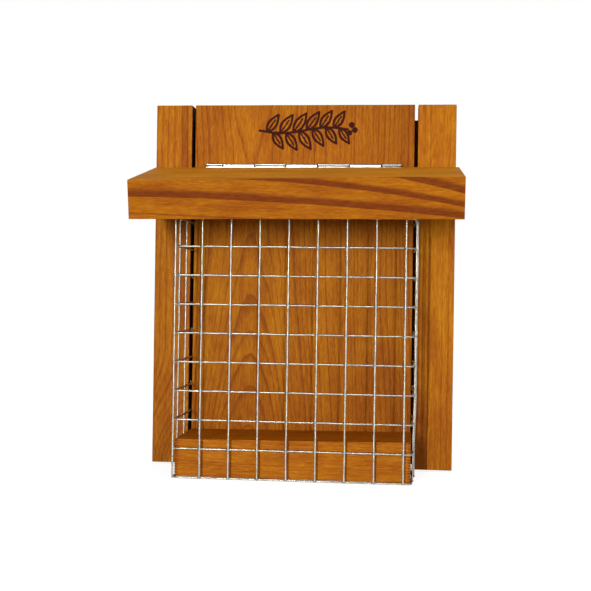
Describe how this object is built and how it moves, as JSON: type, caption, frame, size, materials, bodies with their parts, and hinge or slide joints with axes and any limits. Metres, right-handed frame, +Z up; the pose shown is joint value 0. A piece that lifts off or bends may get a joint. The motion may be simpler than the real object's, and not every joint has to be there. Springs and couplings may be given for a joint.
{
  "type": "bird feeder",
  "caption": "Wall-hung wooden bird feeder: boarded back, welded mesh food cage on a floor block, sloping lid on a piano hinge.",
  "frame": {"origin": "centre of the keyhole's round entry in the hanger plate, on the plane of the wall", "axes": "+Z up, +Y into the wall, +X to the right as seen from the front, so the lid and cage face -Y"},
  "size_m": [0.287, 0.1381, 0.3422],
  "materials": {
    "side_boards": "oiled softwood, straight grain",
    "centre_board": "oiled softwood, flat-sawn grain",
    "battens": "oiled softwood, straight grain",
    "floor_block": "oiled softwood, sawn ends",
    "lid_board": "oiled softwood, dark late grain",
    "wood_screws": "zinc plated",
    "hinge_leaves": "zinc plated",
    "hinge_pin": "bright steel",
    "hinge_screws": "zinc plated",
    "mesh_wire": "hot-dip galvanised",
    "staples": "galvanised",
    "hanger": "zinc plated",
    "hanger_screws": "zinc plated"
  },
  "bodies": {
    "feeder": {"left_stile": "side_boards", "right_stile": "side_boards", "centre_back_board": "centre_board", "rear_batten_left": "battens", "rear_batten_right": "battens", "floor_block": "floor_block", "stile_screws": "wood_screws", "centre_board_screws": "wood_screws", "floor_block_screws": "wood_screws", "hinge_fixed_leaf": "hinge_leaves", "hinge_pin": "hinge_pin", "hinge_fixed_leaf_screws": "hinge_screws", "cage_hoops": "mesh_wire", "cage_front_uprights": "mesh_wire", "cage_corner_upright": "mesh_wire", "cage_left_uprights": "mesh_wire", "cage_right_uprights": "mesh_wire", "cage_staples_left": "staples", "cage_staples_right": "staples", "hanger_plate": "hanger", "hanger_screws": "hanger_screws"},
    "lid": {"roof_lid": "lid_board", "hinge_lid_leaf": "hinge_leaves", "hinge_lid_leaf_screws": "hinge_screws"}
  },
  "joints": [
    {"name": "lid_hinge", "type": "hinge", "parent": "feeder", "child": "lid", "pos_m": [0, -0.0327, -0.012], "axis": [-1, 0, 0], "range_deg": [0, 104]}
  ]
}
